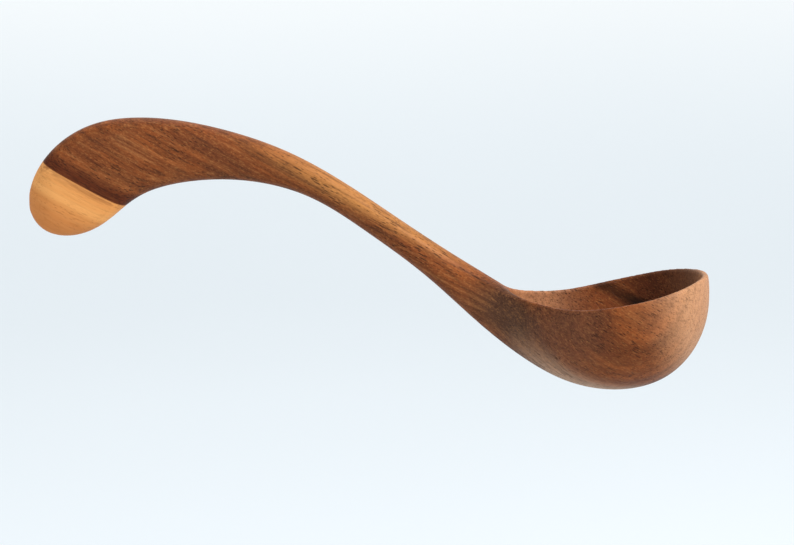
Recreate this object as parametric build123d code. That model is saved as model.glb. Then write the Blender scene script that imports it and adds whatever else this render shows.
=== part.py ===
from build123d import *
import math
import os

# A soup ladle carved from one block of walnut. Millimetres, +Z up, bowl towards +X, symmetric about Y = 0.
# The origin is where a hand grips the broad end of the handle.

# ---- driving dimensions --------------------------------------------------------------------------------------------
HANDLE_REACH = 238.5      # from the tip of the handle to the back of the bowl
GRIP_BEHIND = 32.0        # from the tip of the handle to the middle of the grip
BOWL_LENGTH = 100.5       # outside, back of the hollow to the nose
BOWL_WIDTH = 86.0         # outside, at the widest part of the rim
BOWL_HOLLOW = 40.0        # depth of the hollow below the lowest point of the rim
FLOOR = 4.6               # wood under the hollow
LIP = 2.8                 # wall at the rim
LIP_ROUNDING = 0.9        # softening of both edges of the lip
HANDLE_THICKNESS = 21.0   # across the broad end
NECK_THICKNESS = 17.0     # across the neck
CROWN_HEIGHT = 28.6       # highest point of the handle above the grip
HEEL_DEPTH = 30.1         # lowest point of the broad end below the grip
RIM_DROP = 62.5           # lowest point of the rim below the grip
FRONT_RISE = 13.6         # front of the rim above its lowest point
BACK_RISE = 6.7           # top of the neck above the same point, where it meets the bowl
NOSE_RISE = 1.8           # foremost point of the bowl above the same point
NECK_DEPTH = 17.0         # of the neck from its top straight down, where it is slimmest

OPENING_LENGTH = 45.0     # of neck over which its sides rise to the rim and sharpen into the lip's edge
EDGE_BELOW_RIM = 3.0      # at the back of the bowl
THROAT_BEHIND = 4.0       # from the back of the hollow to where bowl and handle meet
FIBRE_SLOPE = 28.5        # degrees that the fibres fall towards the bowl
RING_RADIUS = 160.0       # of the growth ring between heartwood and sapwood
RING_TILT = 12.0          # degrees that this ring is turned about the fibres, away from square to the sides
SAPWOOD_BELOW_GRIP = 4.2  # from the grip to that ring

HANDLE_SQUARENESS = 3.0   # 2 is an ellipse, more is boxier
NECK_SQUARENESS = 2.6
BOWL_SQUARENESS = 2.25
RIDGE_SQUARENESS = 2.0    # the neck's back is an arch where it meets the rim
RIM_SQUARENESS = 3.2      # the walls stand nearly straight at the rim
THROAT_SQUARENESS = 1.75  # where the neck opens into the bowl its sides slope in below the rim

HOLLOW_SHOULDER = 0.3     # least height of the hollow below its widest level
SECTION_SPANS = 20        # on each side
OUTLINE_STEPS = 240
BODY_SECTIONS = 52
HOLLOW_SECTIONS = 24

# ---- landmarks along X ---------------------------------------------------------------------------------------------
tip_x = -GRIP_BEHIND
bowl_x = tip_x + HANDLE_REACH
nose_x = bowl_x + BOWL_LENGTH
neck_opens_x = bowl_x - OPENING_LENGTH


def along_handle(share):
    return tip_x + share * HANDLE_REACH


def along_bowl(share):
    return bowl_x + share * BOWL_LENGTH


def height_at(curve, x):
    """The second coordinate of a left-to-right curve where its first coordinate is x."""
    low, high = 0.0, 1.0
    for _ in range(26):
        middle = (low + high) / 2
        if (curve @ middle).X < x:
            low = middle
        else:
            high = middle
    return (curve @ low).Y


def ease(x, start, end):
    """0 before start, 1 after end, smooth between them."""
    t = min(1.0, max(0.0, (x - start) / (end - start)))
    return t * t * (3 - 2 * t)


def blend(a, b, share):
    return a + (b - a) * share


# ---- outlines, each drawn as (X, height) or (X, half width) ---------------------------------------------------------
rim_z = -RIM_DROP
neck_end_z = rim_z + BACK_RISE
nose_z = rim_z + NOSE_RISE
floor_z = rim_z - BOWL_HOLLOW
base_z = floor_z - FLOOR
tip_z = -0.455 * HEEL_DEPTH


def down_neck(share):
    """A height between the crown of the handle and the top of the neck where it meets the bowl."""
    return blend(CROWN_HEIGHT, neck_end_z, share)


def up_front(share):
    """A height between the lowest point of the rim and its front."""
    return rim_z + share * FRONT_RISE


# The rim seen from the side. It starts just above the neck and meets it at the back of the bowl.
rim_line = Spline(
    (along_handle(0.92), down_neck(0.844)),
    (along_handle(0.965), down_neck(0.938)),
    (along_handle(0.998), rim_z + 0.83 * BACK_RISE),
    (along_bowl(0.12), up_front(0.12)),
    (along_bowl(0.30), up_front(0)),
    (along_bowl(0.48), up_front(0.16)),
    (along_bowl(0.72), up_front(0.545)),
    (along_bowl(0.97), up_front(1)),
    (along_bowl(1.10), up_front(1.08)),
)


def above_rim(share, height):
    """A point over the bowl, higher than the rim."""
    return along_bowl(share), height_at(rim_line, along_bowl(share)) + height


# The top of the handle, from its tip over the crown, down the neck and on above the rim.
back_line = Spline(
    (tip_x, tip_z),
    (along_handle(0.033), 0.266 * CROWN_HEIGHT),
    (along_handle(0.132), 0.874 * CROWN_HEIGHT),
    (along_handle(0.235), CROWN_HEIGHT),
    (along_handle(0.40), down_neck(0.066)),
    (along_handle(0.54), down_neck(0.201)),
    (along_handle(0.67), down_neck(0.406)),
    (along_handle(0.787), down_neck(0.628)),
    (along_handle(0.90), down_neck(0.835)),
    (along_handle(0.968), down_neck(0.954)),
    (along_handle(1.0), neck_end_z),
    above_rim(0.06, 3.3),
    above_rim(0.20, 8.2),
    above_rim(0.50, 11.2),
    above_rim(0.80, 11.8),
    above_rim(0.96, 5.2),
    (nose_x, nose_z),
    tangents=[(0, 1), (0, -1)],
    tangent_scalars=[1, 1],
)


def under_back(share, depths):
    """A point on the underside, so many times the neck's depth below the top."""
    return along_handle(share), height_at(back_line, along_handle(share)) - depths * NECK_DEPTH


def up_bowl(share):
    """A height on the outside of the bowl, from its base towards the rim."""
    return base_z + share * (rim_z - base_z)


def up_hollow(share):
    return floor_z + share * BOWL_HOLLOW


# The underside, from the tip round the heel, up under the arch, down the neck and round the bowl.
belly_line = Spline(
    (tip_x, tip_z),
    (along_handle(0.028), -0.884 * HEEL_DEPTH),
    (along_handle(0.082), -HEEL_DEPTH),
    (along_handle(0.152), -0.814 * HEEL_DEPTH),
    (along_handle(0.222), -0.385 * HEEL_DEPTH),
    under_back(0.335, 1.73),
    under_back(0.46, 1.28),
    under_back(0.585, 1.01),
    under_back(0.70, 1.01),
    under_back(0.83, 1.15),
    under_back(0.94, 1.58),
    (along_bowl(0.09), up_bowl(0.322)),
    (along_bowl(0.29), up_bowl(0.086)),
    (along_bowl(0.52), base_z),
    (along_bowl(0.76), up_bowl(0.118)),
    (along_bowl(0.93), up_bowl(0.476)),
    (nose_x, nose_z),
    tangents=[(0, -1), (0, 1)],
    tangent_scalars=[1, 1],
)


def widening(share):
    """Half a width between the neck's and the bowl's."""
    return blend(NECK_THICKNESS, BOWL_WIDTH, share) / 2


# Half the width seen from above: handle, neck, throat and the egg of the bowl.
side_line = Spline(
    (tip_x, 0),
    (along_handle(0.022), 0.314 * HANDLE_THICKNESS),
    (along_handle(0.08), 0.471 * HANDLE_THICKNESS),
    (along_handle(0.20), 0.5 * HANDLE_THICKNESS),
    (along_handle(0.42), blend(HANDLE_THICKNESS, NECK_THICKNESS, 0.55) / 2),
    (along_handle(0.64), widening(0)),
    (along_handle(0.88), widening(0)),
    (along_handle(0.985), widening(0.04)),
    (along_bowl(0.075), widening(0.252)),
    (along_bowl(0.24), widening(0.641)),
    (along_bowl(0.43), widening(0.907)),
    (along_bowl(0.61), widening(1)),
    (along_bowl(0.79), 0.443 * BOWL_WIDTH),
    (along_bowl(0.925), 0.275 * BOWL_WIDTH),
    (nose_x, 0),
    tangents=[(0, 1), (0, -1)],
    tangent_scalars=[1, 1],
)

# The hollow: its floor from the back wall to the front wall, and half its width seen from above.
hollow_back_x = bowl_x
hollow_front_x = nose_x - 1.2 * LIP
hollow_back_z = height_at(rim_line, bowl_x) - EDGE_BELOW_RIM

floor_line = Spline(
    (hollow_back_x, hollow_back_z),
    (along_bowl(0.09), up_hollow(0.468)),
    (along_bowl(0.27), up_hollow(0.106)),
    (along_bowl(0.51), floor_z),
    (along_bowl(0.75), up_hollow(0.124)),
    (along_bowl(0.91), up_hollow(0.544)),
    (hollow_front_x, nose_z),
    tangents=[(0, -1), (0, 1)],
    tangent_scalars=[1, 1],
)

hollow_top_line = Spline(
    (hollow_back_x, hollow_back_z),
    above_rim(0.05, 5.0),
    above_rim(0.25, 9.2),
    above_rim(0.50, 12.2),
    above_rim(0.80, 12.8),
    above_rim(0.93, 6.6),
    (hollow_front_x, nose_z),
    tangents=[(0, 1), (0, -1)],
    tangent_scalars=[1, 1],
)


def inside_wall(share, lips):
    """A point on the hollow's side, so many times the lip's thickness inside the bowl's."""
    return along_bowl(share), height_at(side_line, along_bowl(share)) - lips * LIP


hollow_side_line = Spline(
    (hollow_back_x, 0),
    inside_wall(0.065, 1.42),
    inside_wall(0.24, 0.96),
    inside_wall(0.43, 1.00),
    inside_wall(0.61, 1.00),
    inside_wall(0.785, 1.10),
    inside_wall(0.91, 1.74),
    (hollow_front_x, 0),
    tangents=[(0, 1), (0, -1)],
    tangent_scalars=[1, 1],
)


# ---- solids --------------------------------------------------------------------------------------------------------
def widest_z(x):
    """The height at which a section is widest: halfway up the handle, just below the rim of the bowl."""
    middle = (height_at(back_line, x) + height_at(belly_line, x)) / 2
    if x <= neck_opens_x:
        return middle
    along = max(0.0, (x - bowl_x) / BOWL_LENGTH)
    below_rim = blend(EDGE_BELOW_RIM, height_at(rim_line, nose_x) - nose_z, along)
    crest = height_at(rim_line, x) if x > bowl_x else height_at(back_line, x)
    return blend(middle, crest - below_rim, ease(x, neck_opens_x, bowl_x))


def evenly_spaced(points, spans):
    """Points that divide a polyline into equal lengths, and the whole length."""
    lengths = [(b - a).length for a, b in zip(points, points[1:])]
    total = sum(lengths)
    spaced = [points[0]]
    travelled = 0.0
    for a, b, length in zip(points, points[1:], lengths):
        while len(spaced) < spans and travelled + length >= total * len(spaced) / spans:
            spaced.append(a + (b - a) * ((total * len(spaced) / spans - travelled) / length))
        travelled += length
    return spaced + [points[-1]], total


def half_section(x, side, half_width, widest, top, bottom, square_above, square_below):
    """One side of a section, from its top to its bottom: two quarter superellipses that share their widest level."""
    points = []
    for i in range(OUTLINE_STEPS + 1):
        angle = math.pi * i / OUTLINE_STEPS
        across = math.sin(angle)
        up = math.cos(angle)
        squareness = square_above if up > 0 else square_below
        reach = top - widest if up > 0 else widest - bottom
        out = (across ** squareness + abs(up) ** squareness) ** (-1 / squareness)
        points.append(Vector(x, side * half_width * across * out, widest + reach * up * out))
    points, length = evenly_spaced(points, SECTION_SPANS)
    return Edge.make_spline(
        points,
        tangents=[Vector(0, side * length, 0), Vector(0, -side * length, 0)],
        parameters=[i / SECTION_SPANS for i in range(SECTION_SPANS + 1)],
        scale=False,
    )


def section(*shape):
    """A closed outline across the ladle, its two sides mirror images of each other."""
    x, *rest = shape
    return Wire([half_section(x, 1, *rest), half_section(x, -1, *rest)])


def stations(start, end, count):
    """Places from start to end, without the ends themselves, closer together near each end."""
    return [start + (end - start) * (1 - math.cos(math.pi * i / count)) / 2 for i in range(1, count)]


def body_section(x):
    to_neck = ease(x, along_handle(0.25), along_handle(0.60))
    to_throat = ease(x, neck_opens_x, bowl_x)
    to_rim = ease(x, bowl_x, along_bowl(0.12))
    to_bowl = ease(x, along_bowl(0.08), along_bowl(0.55))
    neck_square = blend(HANDLE_SQUARENESS, NECK_SQUARENESS, to_neck)
    square_above = blend(blend(neck_square, RIDGE_SQUARENESS, to_throat), RIM_SQUARENESS, to_rim)
    square_below = blend(blend(neck_square, THROAT_SQUARENESS, to_throat), BOWL_SQUARENESS, to_bowl)
    return section(x, height_at(side_line, x), widest_z(x), height_at(back_line, x),
                   height_at(belly_line, x), square_above, square_below)


def hollow_section(x):
    bottom = height_at(floor_line, x)
    return section(x, height_at(hollow_side_line, x), max(widest_z(x), bottom + HOLLOW_SHOULDER),
                   height_at(hollow_top_line, x), bottom, RIM_SQUARENESS, BOWL_SQUARENESS)


body = Solid.make_loft(
    [Vertex(tip_x, 0, tip_z)]
    + [body_section(x) for x in stations(tip_x, nose_x, BODY_SECTIONS)]
    + [Vertex(nose_x, 0, nose_z)]
)
hollow = Solid.make_loft(
    [Vertex(hollow_back_x, 0, hollow_back_z)]
    + [hollow_section(x) for x in stations(hollow_back_x, hollow_front_x, HOLLOW_SECTIONS)]
    + [Vertex(hollow_front_x, 0, nose_z)]
)

# Everything above the rim is planed away, which also leaves a narrow flat along the top of the neck.
rim_start = rim_line @ 0
rim_end = rim_line @ 1
clear_z = CROWN_HEIGHT
planed_outline = Face(Wire([
    rim_line.edge(),
    Edge.make_line(rim_end, (rim_end.X, clear_z)),
    Edge.make_line((rim_end.X, clear_z), (rim_start.X, clear_z)),
    Edge.make_line((rim_start.X, clear_z), rim_start),
]))
planed_away = extrude(Plane.XZ * planed_outline, BOWL_WIDTH, both=True)
ladle = body - planed_away - hollow

# The bowl is named apart from the handle at the throat, where the neck opens out. The lip is softened on both edges.
throat_plane = Plane(origin=(bowl_x - THROAT_BEHIND, 0, 0), x_dir=(0, 1, 0), z_dir=(1, 0, 0))
bowl = ladle.split(throat_plane, keep=Keep.TOP)
whole_handle = ladle.split(throat_plane, keep=Keep.BOTTOM)
lip_edges = [
    edge for edge in bowl.edges()
    if abs((edge @ 0.5).Y) > BOWL_WIDTH / 4 and (edge @ 0.5).Z > rim_z - LIP and edge.length > BOWL_LENGTH
]
bowl = bowl.fillet(LIP_ROUNDING, lip_edges)

# The sapwood lies outside one growth ring of the tree. The fibres run along the neck, and so does the ring.
fibre = Vector(1, 0, 0).rotate(Axis.Y, FIBRE_SLOPE)
outward = Vector(0, 0, -1).rotate(Axis.Y, FIBRE_SLOPE).rotate(Axis((0, 0, 0), fibre), RING_TILT)
ring_middle = outward * (SAPWOOD_BELOW_GRIP - RING_RADIUS)
ring = Plane(origin=ring_middle, z_dir=fibre) * Cylinder(RING_RADIUS, 3 * HANDLE_REACH)
handle = whole_handle & ring
sapwood_edge = whole_handle - ring

os.makedirs("parts", exist_ok=True)
for name, piece in {"bowl": bowl, "handle": handle, "sapwood_edge": sapwood_edge}.items():
    export_step(piece, f"parts/{name}.step")
    size = piece.bounding_box().size
    print(f"{name}: {piece.volume / 1000:.1f} cm3, {size.X:.1f} x {size.Y:.1f} x {size.Z:.1f} mm")
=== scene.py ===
import math

import bmesh
import bpy
from mathutils import Matrix, Vector


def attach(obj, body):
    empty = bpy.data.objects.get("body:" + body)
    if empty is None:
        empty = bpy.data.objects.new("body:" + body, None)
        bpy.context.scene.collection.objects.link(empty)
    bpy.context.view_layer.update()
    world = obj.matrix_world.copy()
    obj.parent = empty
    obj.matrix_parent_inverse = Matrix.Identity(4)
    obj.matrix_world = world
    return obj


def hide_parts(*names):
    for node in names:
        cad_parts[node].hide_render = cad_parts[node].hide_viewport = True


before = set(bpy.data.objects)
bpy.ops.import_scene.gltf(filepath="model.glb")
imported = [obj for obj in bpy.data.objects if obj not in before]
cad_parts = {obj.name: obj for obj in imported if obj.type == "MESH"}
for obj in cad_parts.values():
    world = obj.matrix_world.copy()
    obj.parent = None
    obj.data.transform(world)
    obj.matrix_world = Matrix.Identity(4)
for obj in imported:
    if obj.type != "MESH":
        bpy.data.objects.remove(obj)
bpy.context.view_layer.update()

# ---- sizes ---------------------------------------------------------------------------------------------------------
THROAT_X = 0.2025            # where the bowl is named apart from the handle
CUT_TOLERANCE = 0.00002
SURFACE_STEP = 0.00085       # spacing of the carved surface's points
SOFTENING_ROUNDS = 4         # how far sanding rounds the edges
FIBRE_SLOPE = math.radians(28.5)
RING_RADIUS = 0.160          # growth ring between heartwood and sapwood, as in the CAD model
RING_TILT = math.radians(12.0)
SAPWOOD_BELOW_GRIP = 0.0042
BOWL_PITH = (0.080, 0.052)   # where the rings seen in the bowl are centred: (Y, distance across the fibres)
BOWL_RINGS = 0.150           # radius of the ring that bounds the heartwood there
TO_BOWL = (0.11, 0.26)       # distance along the fibres over which one set of rings gives way to the other
RINGS_PER_METRE = 240.0
MERGE_DISTANCE = 0.000002
CUT_FACE_ALIGNMENT = 0.9     # cosine above which a face on the ring faces straight out of it

# ---- the carved surface --------------------------------------------------------------------------------------------
fibre = Vector((math.cos(FIBRE_SLOPE), 0, -math.sin(FIBRE_SLOPE)))
outward = Matrix.Rotation(RING_TILT, 3, fibre) @ Vector((-math.sin(FIBRE_SLOPE), 0, -math.cos(FIBRE_SLOPE)))
ring_middle = outward * (SAPWOOD_BELOW_GRIP - RING_RADIUS)


def on_cut(face):
    """Whether a face of a CAD node is one where two nodes meet, inside the unbroken wood."""
    def off_ring(point):
        arm = point - ring_middle
        return abs((arm - fibre * arm.dot(fibre)).length - RING_RADIUS)

    at_throat = all(abs(v.co.x - THROAT_X) < CUT_TOLERANCE for v in face.verts)
    at_ring = all(off_ring(v.co) < CUT_TOLERANCE for v in face.verts)
    arm = face.calc_center_median() - ring_middle
    radial = (arm - fibre * arm.dot(fibre)).normalized()
    return at_throat or (at_ring and abs(face.normal.dot(radial)) > CUT_FACE_ALIGNMENT)


def applied(obj):
    """The object's mesh with its modifiers applied, as a new mesh."""
    depsgraph = bpy.context.evaluated_depsgraph_get()
    return bpy.data.meshes.new_from_object(obj.evaluated_get(depsgraph))


def carved_ladle():
    """One closed surface for the whole ladle, evenly spaced, with its edges softened."""
    merged = bmesh.new()
    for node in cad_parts.values():
        merged.from_mesh(node.data)
    merged.normal_update()
    bmesh.ops.delete(merged, geom=[f for f in merged.faces if on_cut(f)], context="FACES")
    bmesh.ops.remove_doubles(merged, verts=merged.verts, dist=MERGE_DISTANCE)
    mesh = bpy.data.meshes.new("blank")
    merged.to_mesh(mesh)
    merged.free()
    exact = bpy.data.objects.new("exact", mesh)
    blank = bpy.data.objects.new("blank", mesh)
    for obj in (exact, blank):
        bpy.context.scene.collection.objects.link(obj)
    remesh = blank.modifiers.new("even", "REMESH")
    remesh.mode = "VOXEL"
    remesh.voxel_size = SURFACE_STEP
    remesh.use_smooth_shade = True
    settle = blank.modifiers.new("settled on the exact surface", "SHRINKWRAP")
    settle.target = exact
    soften = blank.modifiers.new("sanded", "SMOOTH")
    soften.factor = 0.5
    soften.iterations = SOFTENING_ROUNDS
    carved = applied(blank)
    bpy.data.objects.remove(blank)
    bpy.data.objects.remove(exact)
    return carved


carved = carved_ladle()


# ---- wood materials ------------------------------------------------------------------------------------------------
class Graph:
    """A material's node tree, with short calls for the nodes that the wood uses."""

    def __init__(self, name):
        self.material = bpy.data.materials.new(name)
        self.material.use_nodes = True
        self.tree = self.material.node_tree
        self.tree.nodes.clear()

    def add(self, kind, inputs=(), **settings):
        node = self.tree.nodes.new(kind)
        for key, value in settings.items():
            setattr(node, key, value)
        for key, value in dict(inputs).items():
            self.put(node, key, value)
        return node

    def put(self, node, key, value):
        if isinstance(value, bpy.types.NodeSocket):
            self.tree.links.new(value, node.inputs[key])
        else:
            node.inputs[key].default_value = value

    def math(self, operation, *values):
        return self.add("ShaderNodeMath", enumerate(values), operation=operation).outputs[0]

    def vector(self, x, y, z):
        return self.add("ShaderNodeCombineXYZ", {"X": x, "Y": y, "Z": z}).outputs[0]

    def noise(self, vector, scale, detail=2.0, roughness=0.5):
        inputs = {"Vector": vector, "Scale": scale, "Detail": detail, "Roughness": roughness}
        return self.add("ShaderNodeTexNoise", inputs).outputs["Fac"]

    def ramp(self, value, low, high, to_low=0.0, to_high=1.0, smooth=True):
        inputs = {"Value": value, "From Min": low, "From Max": high, "To Min": to_low, "To Max": to_high}
        node = self.add("ShaderNodeMapRange", inputs, interpolation_type="SMOOTHSTEP" if smooth else "LINEAR")
        return node.outputs[0]

    def mix(self, factor, a, b):
        node = self.add("ShaderNodeMix", data_type="RGBA")
        for index, value in ((0, factor), (6, a), (7, b)):
            if isinstance(value, tuple) and len(value) == 3:
                value = (*value, 1.0)
            self.put(node, index, value)
        return node.outputs[2]


def srgb(code):
    """A colour written as hex, as linear values."""
    channels = [int(code[i:i + 2], 16) / 255 for i in (1, 3, 5)]
    return tuple(c / 12.92 if c <= 0.04045 else ((c + 0.055) / 1.055) ** 2.4 for c in channels)


# Patches in the heartwood, some of them wood tone and some painted light and shade: (X, Y, Z), reach along and across
# the fibres, strength, colour.
WOOD_TONE_AND_PAINTED_LIGHT = (
    ((0.216, 0.024, -0.068), 0.032, 0.026, 0.68, "#a87858"),  # tan on the inner wall at the back: wood tone with painted light where the light falls on it
    ((0.206, -0.012, -0.068), 0.026, 0.018, 0.72, "#33231b"),  # painted shade at the throat, on the near flank that faces away from the light
    ((0.205, -0.012, -0.080), 0.040, 0.024, 0.42, "#4c3a2e"),  # greyish painted shade and reflection below it
    ((0.232, -0.034, -0.078), 0.028, 0.026, 0.30, "#574036"),  # greyish painted shade on the flank behind the middle of the bowl
    ((0.252, -0.012, -0.110), 0.060, 0.022, 0.80, "#a88a70"),  # paler underside: painted reflection of the bright floor
    ((0.252, 0.034, -0.070), 0.020, 0.016, 0.50, "#5a3120"),  # brown on the far inner wall
    ((0.289, 0.026, -0.058), 0.030, 0.024, 0.66, "#3a1f1a"),  # painted shade on the inner wall at the front, which the light does not reach
)


def wood(name, is_sapwood):
    """Oiled walnut. Rings, streaks and pores all follow the tree, so they wrap round the carving as real grain does."""
    g = Graph(name)
    place = g.add("ShaderNodeTexCoord").outputs["Object"]
    turned = g.add("ShaderNodeMapping", {"Vector": place, "Rotation": (0, -FIBRE_SLOPE, 0)}).outputs[0]
    axes = g.add("ShaderNodeSeparateXYZ", {"Vector": turned})
    along, side, across = axes.outputs["X"], axes.outputs["Y"], axes.outputs["Z"]

    def stretched(length, y=side, z=across):
        return g.vector(g.math("MULTIPLY", along, 1 / length), y, z)

    # The fibres waver a little, so nothing runs dead straight.
    slow = g.noise(stretched(3.0), 14.0)
    quick = g.noise(stretched(4.0), 90.0)
    sway = g.math("MULTIPLY", g.math("SUBTRACT", slow, 0.5), 0.012)
    ripple = g.math("MULTIPLY", g.math("SUBTRACT", quick, 0.5), 0.0022)
    waver = g.math("ADD", sway, ripple)
    side_w = g.math("ADD", side, waver)
    across_w = g.math("ADD", across, waver)

    def distance(*gaps):
        squares = [g.math("MULTIPLY", gap, gap) for gap in gaps]
        total = squares[0]
        for square in squares[1:]:
            total = g.math("ADD", total, square)
        return g.math("SQRT", total)

    def from_axis(centre, y, z):
        return distance(g.math("SUBTRACT", y, centre[0]), g.math("SUBTRACT", z, centre[1]))

    # How far outside the heartwood's bounding ring, and how far round the rings that show in the bowl.
    middle = Matrix.Rotation(-FIBRE_SLOPE, 3, "Y") @ ring_middle
    past_edge = g.math("SUBTRACT", from_axis(middle.yz, side, across), RING_RADIUS)
    at_grip = g.math("SUBTRACT", from_axis(middle.yz, side_w, across_w), RING_RADIUS)
    at_bowl = g.math("SUBTRACT", from_axis(BOWL_PITH, side_w, across_w), BOWL_RINGS)
    to_bowl = g.ramp(along, *TO_BOWL)
    depth = g.math("ADD", at_grip, g.math("MULTIPLY", to_bowl, g.math("SUBTRACT", at_bowl, at_grip)))

    # Broad bands of colour between rings, and the thin dark late wood at the end of each.
    band = g.noise(g.vector(depth, g.math("MULTIPLY", along, 0.04), 0.0), 170.0, 2.0, 0.6)
    phase = g.math("FRACT", g.math("ADD", g.math("MULTIPLY", depth, RINGS_PER_METRE), g.math("MULTIPLY", band, 1.6)))
    late = g.math("MULTIPLY", g.ramp(phase, 0.45, 0.97), g.ramp(phase, 1.0, 0.97))
    streak = g.noise(stretched(25.0, side_w, across_w), 520.0, 3.0, 0.62)
    fine = g.noise(stretched(16.0, side_w, across_w), 1500.0, 2.0, 0.6)
    speck = g.noise(stretched(2.5), 1700.0, 2.0, 0.7)

    def pores(spacing, length, size):
        """Short tubes along the fibres: dashes on the long grain and dots on the end grain."""
        cells = {"Vector": stretched(length, side_w, across_w), "Scale": 1 / spacing}
        return g.ramp(g.add("ShaderNodeTexVoronoi", cells).outputs["Distance"], size, size * 0.4)

    patchy = g.ramp(g.noise(stretched(3.0), 75.0), 0.36, 0.60, 0.30, 1.0)
    pore = g.math("MULTIPLY", g.math("MAXIMUM", pores(0.0009, 4.5, 0.33), pores(0.0016, 8.0, 0.27)), patchy)

    def near(x, y, z, long, wide):
        """1 inside a soft blotch that is longer along the fibres, 0 outside it."""
        centre = Matrix.Rotation(-FIBRE_SLOPE, 3, "Y") @ Vector((x, y, z))
        gaps = []
        for axis, middle_of, reach in ((along, centre.x, long), (side, centre.y, wide), (across, centre.z, wide)):
            gaps.append(g.math("MULTIPLY", g.math("SUBTRACT", axis, middle_of), 1 / reach))
        wobble = g.math("MULTIPLY", g.math("SUBTRACT", slow, 0.5), 1.2)
        return g.ramp(g.math("ADD", distance(*gaps), wobble), 1.15, 0.35)

    def tint(under, amount, mask, code):
        return g.mix(g.math("MULTIPLY", mask, amount), under, srgb(code))

    if is_sapwood:
        colour = g.mix(g.ramp(band, 0.3, 0.7), srgb("#ca8749"), srgb("#d79858"))
        colour = tint(colour, 0.45, g.ramp(streak, 0.52, 0.74), "#a8703a")
        colour = tint(colour, 0.16, late, "#9a6434")
        # Painted shade: the sapwood turns a darker orange the further it lies past the ring, towards its lower edge.
        colour = tint(colour, 0.55, g.ramp(past_edge, 0.009, 0.022), "#a65c2c")
        colour = tint(colour, 0.35, pore, "#87552b")
        rim_streaks = g.math("MULTIPLY", g.ramp(past_edge, 0.0045, 0.0), g.ramp(streak, 0.40, 0.60))
        colour = tint(colour, 0.55, rim_streaks, "#7a4624")
        colour = tint(colour, 0.75, g.ramp(past_edge, 0.0006, -0.0002), "#7a4624")
    else:
        colour = g.mix(g.ramp(band, 0.32, 0.68), srgb("#874821"), srgb("#663317"))
        cloud = g.noise(stretched(1.6), 38.0, 2.0)
        colour = tint(colour, 0.40, g.ramp(cloud, 0.52, 0.66), "#804b28")
        colour = tint(colour, 0.35, g.ramp(cloud, 0.48, 0.34), "#4d2c1c")
        # Painted highlight: the neck's top is tinted a lighter gold where light from above falls on it.
        painted_top_light = g.math("MULTIPLY", g.ramp(across, 0.044, 0.052), g.ramp(along, 0.205, 0.15))
        colour = tint(colour, 0.92, g.math("MULTIPLY", painted_top_light, g.ramp(along, 0.04, 0.12)), "#a8713c")
        # Painted highlight: a paler patch on the near flank at the front of the bowl, where the key light falls.
        painted_lit_nose = near(0.301, -0.012, -0.068, 0.046, 0.040)
        colour = tint(colour, 0.68, painted_lit_nose, "#b68b68")
        for centre, long, wide, amount, code in WOOD_TONE_AND_PAINTED_LIGHT:
            colour = tint(colour, amount, near(*centre, long, wide), code)
        bowl_calm = g.ramp(along, 0.19, 0.25, 1.0, 0.55)
        strength = g.math("MULTIPLY", g.ramp(streak, 0.50, 0.70), bowl_calm)
        colour = tint(colour, 0.62, strength, "#3f2214")
        strength = g.math("MULTIPLY", g.ramp(streak, 0.48, 0.30), bowl_calm)
        colour = tint(colour, 0.36, strength, "#a06a3e")
        colour = tint(colour, 0.22, g.math("MULTIPLY", late, bowl_calm), "#3b2010")
        colour = tint(colour, 0.40, g.ramp(fine, 0.48, 0.75), "#3a1d0c")
        colour = tint(colour, 0.30, g.ramp(speck, 0.50, 0.78), "#bb824b")
        colour = tint(colour, 0.28, g.ramp(speck, 0.50, 0.26), "#33190c")
        colour = tint(colour, 0.96, near(0.270, 0.036, -0.0675, 0.021, 0.0045), "#150e09")
        colour = tint(colour, 0.80, g.ramp(past_edge, -0.0105, -0.0030), "#4a1b07")
        dark_line = g.math("MULTIPLY", g.ramp(past_edge, -0.010, -0.003), g.ramp(fine, 0.42, 0.62))
        colour = tint(colour, 0.45, dark_line, "#260f06")
        # Pores fade inside the painted highlight at the front of the bowl.
        pore = g.math("MULTIPLY", pore, g.ramp(painted_lit_nose, 0.0, 1.0, 1.0, 0.45, smooth=False))
        colour = tint(colour, 0.74, pore, "#241108")
        colour = tint(colour, 0.60, g.ramp(past_edge, -0.0007, 0.0001), "#6e3d1f")

    shine = g.ramp(streak, 0.3, 0.7, 0.46, 0.56, smooth=False)
    shine = g.math("ADD", shine, g.math("MULTIPLY", pore, 0.15))
    relief = g.math("SUBTRACT", g.math("MULTIPLY", speck, 0.5), pore)
    bump = g.add("ShaderNodeBump", {"Height": relief, "Strength": 0.6, "Distance": 0.00018}).outputs[0]
    surface = g.add("ShaderNodeBsdfPrincipled", {
        "Base Color": colour,
        "Roughness": shine,
        "Normal": bump,
        "Specular IOR Level": 0.10,
    }).outputs[0]
    output = g.add("ShaderNodeOutputMaterial")
    g.tree.links.new(surface, output.inputs["Surface"])
    return g.material


heartwood = wood("heartwood", False)
sapwood = wood("sapwood", True)

# ---- pieces --------------------------------------------------------------------------------------------------------
def ring_side(point):
    """Positive outside the ring that bounds the heartwood."""
    arm = point - ring_middle
    return (arm - fibre * arm.dot(fibre)).length - RING_RADIUS


def cut_along_ring(mesh):
    """Adds points and edges where the ring crosses the surface, so that the two woods part cleanly."""
    bm = bmesh.new()
    bm.from_mesh(mesh)
    crossings = []
    for edge in list(bm.edges):
        before, after = (ring_side(v.co) for v in edge.verts)
        if before * after < 0:
            crossings.append(bmesh.utils.edge_split(edge, edge.verts[0], before / (before - after))[1])
    bmesh.ops.connect_verts(bm, verts=crossings)
    bm.to_mesh(mesh)
    bm.free()


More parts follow.
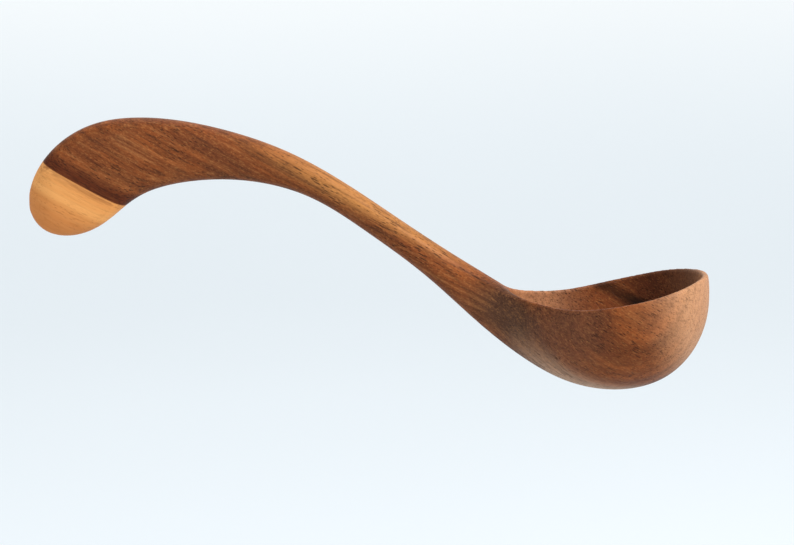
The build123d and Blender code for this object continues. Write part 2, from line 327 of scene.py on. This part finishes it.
def piece(name, keep_outside, material):
    """The part of the ladle on one side of the ring, closed along it, its skin shaded as if it were still whole."""
    normals = [tuple(n.vector) for n in carved.vertex_normals]
    bm = bmesh.new()
    bm.from_mesh(carved)
    origin = bm.verts.layers.int.new("origin")
    for vert in bm.verts:
        vert[origin] = vert.index
    unwanted = [f for f in bm.faces if (ring_side(f.calc_center_median()) > 0) != keep_outside]
    bmesh.ops.delete(bm, geom=unwanted, context="FACES")
    kept_normals = [normals[vert[origin]] for vert in bm.verts]
    bm.verts.layers.int.remove(origin)
    skin_faces = len(bm.faces)
    bmesh.ops.holes_fill(bm, edges=[e for e in bm.edges if e.is_boundary], sides=0)
    mesh = bpy.data.meshes.new(name)
    bm.to_mesh(mesh)
    bm.free()
    loop_normals = []
    for polygon in mesh.polygons:
        on_skin = polygon.index < skin_faces
        for vertex in polygon.vertices:
            loop_normals.append(kept_normals[vertex] if on_skin else tuple(polygon.normal))
    mesh.normals_split_custom_set(loop_normals)
    mesh.materials.append(material)
    obj = bpy.data.objects.new(name, mesh)
    bpy.context.scene.collection.objects.link(obj)
    return obj


cut_along_ring(carved)
body = piece("heartwood_body", False, heartwood)
edge = piece("sapwood_end", True, sapwood)
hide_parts("bowl", "handle")
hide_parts("sapwood_edge")
for obj, slot in ((body, "heartwood"), (edge, "sapwood")):
    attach(obj, "root")
for name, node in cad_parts.items():
    node.data.materials.clear()
    node.data.materials.append(sapwood if name == "sapwood_edge" else heartwood)

# ---- studio --------------------------------------------------------------------------------------------------------
CAMERA_TARGET = Vector((0.151, 0, -0.04885))
CAMERA_DISTANCE = 1.05
CAMERA_ELEVATION = math.radians(8.3)
SENSOR_WIDTH = 36.0          # millimetres
FRAME_WIDTH = 0.397          # of what the picture takes in at the ladle
FLOOR_Z = -0.42
FLOOR_RADIUS = 2.2           # flat as far as this
FLOOR_CURVE = 1.3            # radius of the curve up into the wall
WALL_HEIGHT = 4.0
CURVE_STEPS = 12
ROUND_STEPS = 72


def pale_material():
    g = Graph("pale_backdrop")
    place = g.add("ShaderNodeTexCoord").outputs["Object"]
    height = g.add("ShaderNodeSeparateXYZ", {"Vector": place}).outputs["Z"]
    wall = g.ramp(height, FLOOR_Z + 0.02, FLOOR_Z + 1.1)
    cloud = g.ramp(g.noise(place, 0.6, 2.0), 0.3, 0.7)
    colour = g.mix(cloud, (0.29, 0.30, 0.31), (0.31, 0.32, 0.33))
    surface = g.add("ShaderNodeBsdfPrincipled", {
        "Base Color": colour,
        "Roughness": 0.9,
        "Specular IOR Level": 0.1,
        "Emission Color": g.mix(wall, (0.83, 0.93, 1.0), (1.0, 0.955, 0.885)),
        "Emission Strength": g.ramp(height, FLOOR_Z + 0.02, FLOOR_Z + 0.7, 0.60, 0.765),
    }).outputs[0]
    output = g.add("ShaderNodeOutputMaterial")
    g.tree.links.new(surface, output.inputs["Surface"])
    return g.material


def studio_floor():
    """A pale round floor that curves up into a low wall all round, so that no horizon shows."""
    profile = [(0.0, 0.0), (1.0, 0.0), (FLOOR_RADIUS, 0.0)]
    for i in range(1, CURVE_STEPS + 1):
        turn = math.pi / 2 * i / CURVE_STEPS
        profile.append((FLOOR_RADIUS + FLOOR_CURVE * math.sin(turn), FLOOR_CURVE * (1 - math.cos(turn))))
    profile.append((FLOOR_RADIUS + FLOOR_CURVE, WALL_HEIGHT))
    steps = ROUND_STEPS
    verts = []
    faces = []
    for r, z in profile:
        for k in range(steps):
            a = 2 * math.pi * k / steps
            verts.append((CAMERA_TARGET.x + r * math.cos(a), r * math.sin(a), FLOOR_Z + z))
    for i in range(len(profile) - 1):
        for k in range(steps):
            n = (k + 1) % steps
            faces.append((i * steps + k, i * steps + n, (i + 1) * steps + n, (i + 1) * steps + k))
    mesh = bpy.data.meshes.new("studio_floor")
    mesh.from_pydata(verts, [], faces)
    mesh.validate()
    for polygon in mesh.polygons:
        polygon.use_smooth = True
    obj = bpy.data.objects.new("studio_floor", mesh)
    bpy.context.scene.collection.objects.link(obj)
    mesh.materials.append(pale_material())
    return obj


def softbox(name, place, size, power, colour=(1, 1, 1)):
    light = bpy.data.lights.new(name, "AREA")
    light.shape = "RECTANGLE"
    light.size, light.size_y = size
    light.energy = power
    light.color = colour
    obj = bpy.data.objects.new(name, light)
    obj.location = place
    obj.rotation_mode = "QUATERNION"
    obj.rotation_quaternion = (CAMERA_TARGET - Vector(place)).to_track_quat("-Z", "Y")
    bpy.context.scene.collection.objects.link(obj)
    return obj


studio_floor()
softbox("key", (1.35, -0.55, 0.95), (0.7, 0.7), 36.0, (1.0, 0.98, 0.96))
softbox("top", (0.1, 0.5, 1.5), (1.4, 1.0), 9.0)
softbox("front", (-0.6, -1.6, 0.5), (1.2, 1.0), 3.5, (0.95, 0.97, 1.0))

world = bpy.data.worlds.new("white_room")
world.use_nodes = True
world.node_tree.nodes["Background"].inputs["Color"].default_value = (0.93, 0.95, 1.0, 1.0)
world.node_tree.nodes["Background"].inputs["Strength"].default_value = 0.42
bpy.context.scene.world = world
bpy.context.scene.view_settings.view_transform = "Standard"

camera_data = bpy.data.cameras.new("camera")
camera_data.sensor_width = SENSOR_WIDTH
camera_data.lens = SENSOR_WIDTH * CAMERA_DISTANCE / FRAME_WIDTH
camera_data.clip_end = 50.0
camera = bpy.data.objects.new("camera", camera_data)
back = Vector((0, -math.cos(CAMERA_ELEVATION), math.sin(CAMERA_ELEVATION)))
camera.location = CAMERA_TARGET + back * CAMERA_DISTANCE
camera.rotation_mode = "QUATERNION"
camera.rotation_quaternion = (-back).to_track_quat("-Z", "Y")
bpy.context.scene.collection.objects.link(camera)
bpy.context.scene.camera = camera
